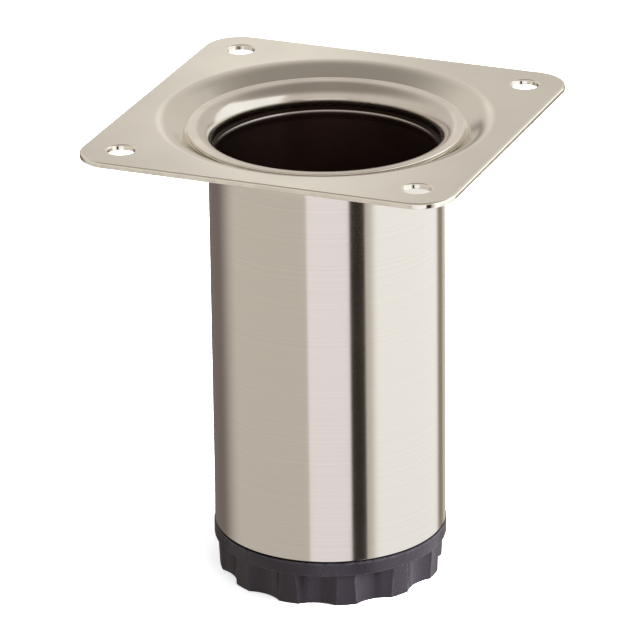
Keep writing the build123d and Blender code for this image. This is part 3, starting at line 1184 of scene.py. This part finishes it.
def make_studio(stage):
    """World: white behind the leg, plain soft light on it, and cards for metal to mirror."""
    world = bpy.data.worlds.new("studio")
    bpy.context.scene.world = world
    tree = cleared(world)
    x, y, up = tree.parts(tree.add("ShaderNodeTexCoord").outputs["Generated"])
    camera_way = math.atan2(stage.camera_place[1], stage.camera_place[0])
    turn = tree.maths("SUBTRACT", tree.maths("ARCTAN2", y, x), camera_way)
    turn = tree.maths("MULTIPLY_ADD", turn, 1 / (2 * math.pi), 0.5)
    turn = tree.maths("FRACT", tree.maths("ADD", turn, 1.0))
    seen = tree.blend(height_span(tree, up, *OVERHEAD), *SURROUND)
    for begin, end, soft, top, tint in CARDS:
        begin, end, soft = 0.5 + begin / 360, 0.5 + end / 360, soft / 360
        left, right = tree.span(turn, begin - soft, begin), tree.span(turn, end, end + soft, 1.0, 0.0)
        sides = tree.maths("MULTIPLY", left, right)
        upright = height_span(tree, up, top, top + LIGHT_BLEND, 1.0, 0.0)
        seen = tree.blend(tree.maths("MULTIPLY", sides, upright), seen, tint)
    low, high, share_below = LIGHT_FALL
    fall = height_span(tree, up, low, high, share_below, 1.0)
    seen = tree.add("ShaderNodeVectorMath", {0: seen, "Scale": fall}, operation="SCALE").outputs[0]
    path = tree.add("ShaderNodeLightPath").outputs
    plain = tree.span(up, -0.2, 0.9, 0.7, 0.95)
    lit = tree.blend(path["Is Glossy Ray"], plain, seen)
    shown = tree.blend(path["Is Camera Ray"], lit, (1.0, 1.0, 1.0))
    background = tree.add("ShaderNodeBackground", {"Color": shown})
    tree.add("ShaderNodeOutputWorld", {"Surface": background.outputs[0]})


def stage_sheet(name, corners, material):
    """One flat face of the stage."""
    mesh = bpy.data.meshes.new(name)
    mesh.from_pydata(corners, [], [(0, 1, 2, 3)])
    mesh.materials.append(material)
    return put(name, mesh)


def make_card(stage):
    """A soft upright light behind the leg that only polished faces mirror."""
    half_width, half_height = 58 * MM, 60 * MM
    behind, aside, centre_z = 350 * MM, 15 * MM, 226.5 * MM
    material = bpy.data.materials.new("card_light")
    tree = cleared(material)
    x, _, z = tree.parts(tree.add("ShaderNodeTexCoord").outputs["Object"])
    across = tree.span(tree.maths("ABSOLUTE", x), 0.0, half_width, 1.0, 0.0)
    upright = tree.span(tree.maths("ABSOLUTE", z), 0.35 * half_height, half_height, 1.0, 0.0)
    strength = tree.maths("MULTIPLY", tree.maths("MULTIPLY", across, upright), stage.card)
    light = tree.add("ShaderNodeEmission", {"Color": (1.0, 0.99, 0.95, 1.0), "Strength": strength})
    clear = tree.add("ShaderNodeBsdfTransparent")
    both = tree.add("ShaderNodeAddShader", {0: light.outputs[0], 1: clear.outputs[0]})
    tree.add("ShaderNodeOutputMaterial", {"Surface": both.outputs[0]})
    quarters = ((-1, -1), (1, -1), (1, 1), (-1, 1))
    corners = [(x * half_width, 0, z * half_height) for x, z in quarters]
    card = stage_sheet("back_card", corners, material)
    away = Vector((-stage.camera_place[0], -stage.camera_place[1], 0)).normalized()
    left = Vector((-away.y, away.x, 0))
    card.location = away * behind + left * aside + Vector((0, 0, centre_z))
    card.rotation_euler = (0, 0, math.atan2(-away.x, away.y))
    card.visible_camera = False
    card.visible_diffuse = False
    card.visible_shadow = False


def soft_lamp(name, place, side, watts):
    """A square lamp that looks at the leg and isn't mirrored in it."""
    data = bpy.data.lights.new(name, "AREA")
    data.shape = "SQUARE"
    data.size = side
    data.energy = watts
    lamp = put(name, data)
    lamp.location = place
    lamp.rotation_euler = (-Vector(place)).to_track_quat("-Z", "Y").to_euler()
    lamp.visible_glossy = False
    lamp.visible_camera = False


def make_floor(stage):
    """Pale floor that keeps the leg's shadow and looks white to the camera."""
    half, glow = stage.floor_half, 0.45
    material = bpy.data.materials.new("pale_floor")
    tree = cleared(material)
    paint = tree.add("ShaderNodeBsdfDiffuse", {"Color": (*stage.floor, 1.0)}).outputs[0]
    light = tree.add("ShaderNodeEmission", {"Color": (1.0, 1.0, 1.0, 1.0), "Strength": glow})
    both = tree.add("ShaderNodeAddShader", {0: paint, 1: light.outputs[0]}).outputs[0]
    seen = tree.add("ShaderNodeLightPath").outputs["Is Camera Ray"]
    choice = tree.add("ShaderNodeMixShader", {0: seen, 1: paint, 2: both})
    tree.add("ShaderNodeOutputMaterial", {"Surface": choice.outputs[0]})
    corners = [(-half, -half, 0), (half, -half, 0), (half, half, 0), (-half, half, 0)]
    floor = stage_sheet("floor", corners, material)
    floor.visible_glossy = False
    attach(floor, "foot")           # stays under the foot as it is screwed out


def make_camera(stage):
    """The photograph's camera."""
    data = bpy.data.cameras.new("camera")
    data.sensor_width = 36.0
    data.lens = stage.lens
    data.clip_end = 20.0
    camera = put("camera", data)
    camera.location = stage.camera_place
    turn = Matrix.Rotation(stage.heading, 3, "Z")
    turn = turn @ Matrix.Rotation(math.pi / 2 - stage.tilt, 3, "X")
    camera.rotation_euler = (turn @ Matrix.Rotation(stage.roll, 3, "Z")).to_euler()
    bpy.context.scene.camera = camera


class FURNITURE_LEG_OT_stage(bpy.types.Operator):
    """Set up the camera, the pale floor and the studio light"""

    bl_idname = "furniture_leg.stage"
    bl_label = "Stage"

    def execute(self, context):
        stage = settings(context)[-1]
        make_camera(stage)
        make_studio(stage)
        make_floor(stage)
        make_card(stage)
        for lamp in LAMPS:
            soft_lamp(*lamp)
        context.scene.view_settings.view_transform = "Standard"
        return {"FINISHED"}


STEPS = (
    ("furniture_leg_tube", TubeSettings, FURNITURE_LEG_OT_tube),
    ("furniture_leg_plate", PlateSettings, FURNITURE_LEG_OT_plate),
    ("furniture_leg_foot", FootSettings, FURNITURE_LEG_OT_foot),
    ("furniture_leg_screw", ScrewSettings, FURNITURE_LEG_OT_screw),
    ("furniture_leg_stage", StageSettings, FURNITURE_LEG_OT_stage),
)


class FURNITURE_LEG_PT_panel(bpy.types.Panel):
    """Lists the pieces of the leg with their settings"""

    bl_idname = "FURNITURE_LEG_PT_panel"
    bl_label = "Furniture Leg"
    bl_space_type = "VIEW_3D"
    bl_region_type = "UI"
    bl_category = "Furniture Leg"

    def draw(self, context):
        for name, group, operator in STEPS:
            box = self.layout.box()
            box.operator(operator.bl_idname)
            for prop in group.__annotations__:
                box.prop(getattr(context.scene, name), prop)


def register():
    for name, group, operator in STEPS:
        bpy.utils.register_class(group)
        bpy.utils.register_class(operator)
        setattr(bpy.types.Scene, name, bpy.props.PointerProperty(type=group))
    bpy.utils.register_class(FURNITURE_LEG_PT_panel)


def unregister():
    bpy.utils.unregister_class(FURNITURE_LEG_PT_panel)
    for name, group, operator in reversed(STEPS):
        delattr(bpy.types.Scene, name)
        bpy.utils.unregister_class(operator)
        bpy.utils.unregister_class(group)


def main():
    """Builds every piece in order."""
    register()
    bpy.ops.furniture_leg.tube()
    bpy.ops.furniture_leg.plate()
    bpy.ops.furniture_leg.foot()
    bpy.ops.furniture_leg.screw()
    bpy.ops.furniture_leg.stage()


if __name__ == "__main__":
    main()
